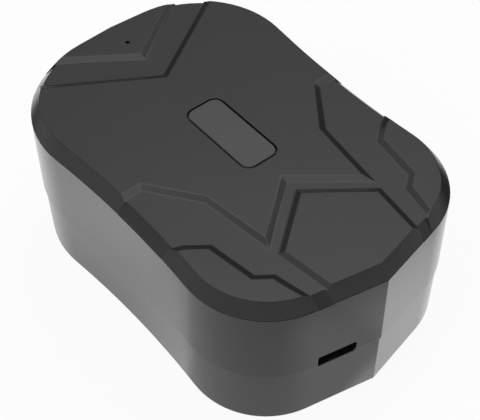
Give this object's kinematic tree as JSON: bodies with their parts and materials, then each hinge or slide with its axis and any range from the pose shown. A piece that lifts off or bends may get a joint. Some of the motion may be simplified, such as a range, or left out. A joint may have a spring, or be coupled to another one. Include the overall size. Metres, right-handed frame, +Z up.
{
  "type": "magnetic gps tracker",
  "caption": "Magnetic vehicle gps tracker in a two-part moulded housing with raised top panels, charging port, battery, antennas and a covered card slot with a power button.",
  "frame": {"origin": "centre of the underside, the face that rests on a surface or holds to steel", "axes": "+Z up from the underside to the raised top, -Y towards the end with the charging port, +X to the right seen from that end"},
  "size_m": [0.0604, 0.09, 0.0362],
  "materials": {
    "case_upper": "satin with a polished skin",
    "case_lower": "satin with a polished skin",
    "badge": "satin, faintly speckled",
    "rubber": "matt",
    "screw_steel": "zinc plated",
    "port_steel": "bright",
    "can_steel": "tin plated",
    "magnet_nickel": "nickel plated",
    "board": "solder mask",
    "copper": "copper foil",
    "ceramic": "fired ceramic",
    "foil": "satin pouch foil",
    "foam": "foam tape",
    "button_plastic": "moulded",
    "part_plastic": "moulded",
    "white_plastic": "moulded",
    "light_lens": "clear lens",
    "card": "plastic card",
    "lead": "insulated wire",
    "battery_lead": "insulated wire"
  },
  "bodies": {
    "housing": {"upper_shell": "case_upper", "lower_shell": "case_lower", "badge_plate": "badge", "seal_ring": "rubber", "shell_screws": "screw_steel", "power_switch": "part_plastic", "main_board": "board", "board_screws": "screw_steel", "charge_port": "port_steel", "sim_holder": "can_steel", "sim_card": "card", "status_lights": "light_lens", "cellular_module": "can_steel", "satellite_receiver": "can_steel", "satellite_antenna": "ceramic", "cellular_antenna": "copper", "antenna_sockets": "port_steel", "antenna_leads": "lead", "microphone": "can_steel", "microphone_boot": "rubber", "microphone_leads": "lead", "battery_cell_lower": "foil", "battery_cell_upper": "foil", "protection_board": "board", "battery_tape": "foam", "battery_connector": "white_plastic", "battery_leads": "battery_lead", "magnet_retainer": "part_plastic", "magnet_centre": "magnet_nickel", "magnet_near_left": "magnet_nickel", "magnet_near_right": "magnet_nickel", "magnet_far_left": "magnet_nickel", "magnet_far_right": "magnet_nickel"},
    "cover": {"service_cover": "rubber"},
    "button": {"power_button": "button_plastic"}
  },
  "joints": [
    {"name": "cover_pull", "type": "slide", "parent": "housing", "child": "cover", "axis": [0, 1, 0], "range_m": [0, 0.005]},
    {"name": "button_press", "type": "slide", "parent": "housing", "child": "button", "axis": [0, -1, 0], "range_m": [0, 0.0003], "stiffness_N_per_m": 500}
  ]
}
